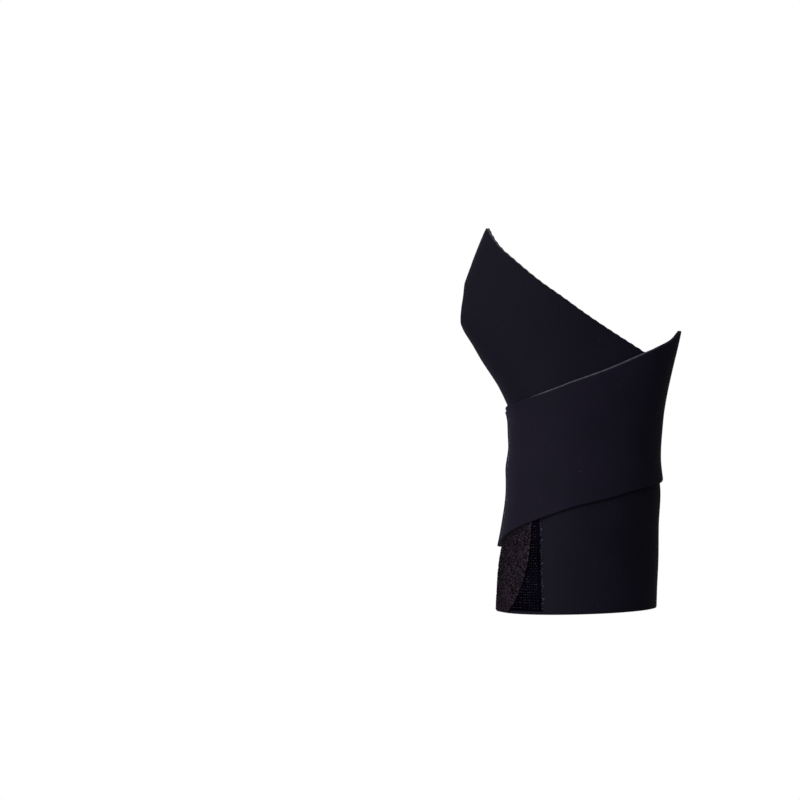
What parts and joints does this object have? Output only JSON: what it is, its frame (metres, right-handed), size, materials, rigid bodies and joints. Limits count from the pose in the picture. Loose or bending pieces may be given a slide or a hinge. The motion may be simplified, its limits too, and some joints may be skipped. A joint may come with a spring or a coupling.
{
  "type": "wrist support brace",
  "caption": "Thin stretch wrist sleeve with a thumb hole, a hook-and-loop forearm cuff and a cross strap that winds over the back of the wrist.",
  "frame": {"origin": "middle of the forearm rim, the flat edge that the brace stands on, under the middle of the object", "axes": "+Z from the forearm to the fingers, +X towards the little finger, +Y towards the palm; the back of the hand faces -Y"},
  "size_m": [0.0794, 0.0484, 0.1392],
  "materials": {
    "knit_face": "fine black ribbed stretch knit",
    "grey_core": "dark grey foam core of the laminate, seen at cut edges",
    "lining": "soft black brushed knit",
    "plush": "fuzzy unbroken loop pile, charcoal",
    "loop_pile": "short loop pile, black",
    "hook_tape": "woven tape with rows of small hooks",
    "thread": "black polyester thread",
    "pale_thread": "grey polyester thread, zigzag"
  },
  "bodies": {
    "root": {"hand_panel_face": "knit_face", "hand_panel_core": "grey_core", "hand_panel_lining": "lining", "cuff_face": "knit_face", "cuff_core": "grey_core", "cuff_lining": "lining", "waist_seam_stitching": "thread", "cuff_hook_tape": "hook_tape", "cuff_hook_stitching": "pale_thread", "palm_loop_patch": "loop_pile", "palm_patch_stitching": "thread", "strap_back_face": "knit_face", "strap_back_core": "grey_core", "strap_back_lining": "lining", "strap_root_stitching": "thread", "flap_margin": "knit_face", "flap_stitching": "thread"},
    "flap": {"flap_backing": "lining", "flap_plush": "plush"},
    "strap_side": {"strap_side_face": "knit_face", "strap_side_core": "grey_core", "strap_side_lining": "lining", "tab_join_stitching": "thread"},
    "strap_tab": {"strap_tab_face": "knit_face", "strap_tab_core": "grey_core", "strap_tab_lining": "lining", "strap_hook_tape": "hook_tape", "tab_stitching": "thread"}
  },
  "joints": [
    {"name": "strap_open", "type": "hinge", "parent": "root", "child": "strap_side", "pos_m": [0, -0.0245, 0.06], "axis": [0, 0, 1], "range_deg": [0, 100]},
    {"name": "tab_peel", "type": "hinge", "parent": "strap_side", "child": "strap_tab", "pos_m": [-0.014, 0.02175, 0.02], "axis": [0, -0.0748, 0.9972], "range_deg": [0, 120]},
    {"name": "flap_peel", "type": "hinge", "parent": "root", "child": "flap", "pos_m": [-0.028, 0.008, 0], "axis": [-0.1191, 0, -0.9929], "range_deg": [0, 40]}
  ],
  "couplings": [
    {"joint": "flap_peel", "follows": "strap_open", "ratio": 0.4}
  ]
}
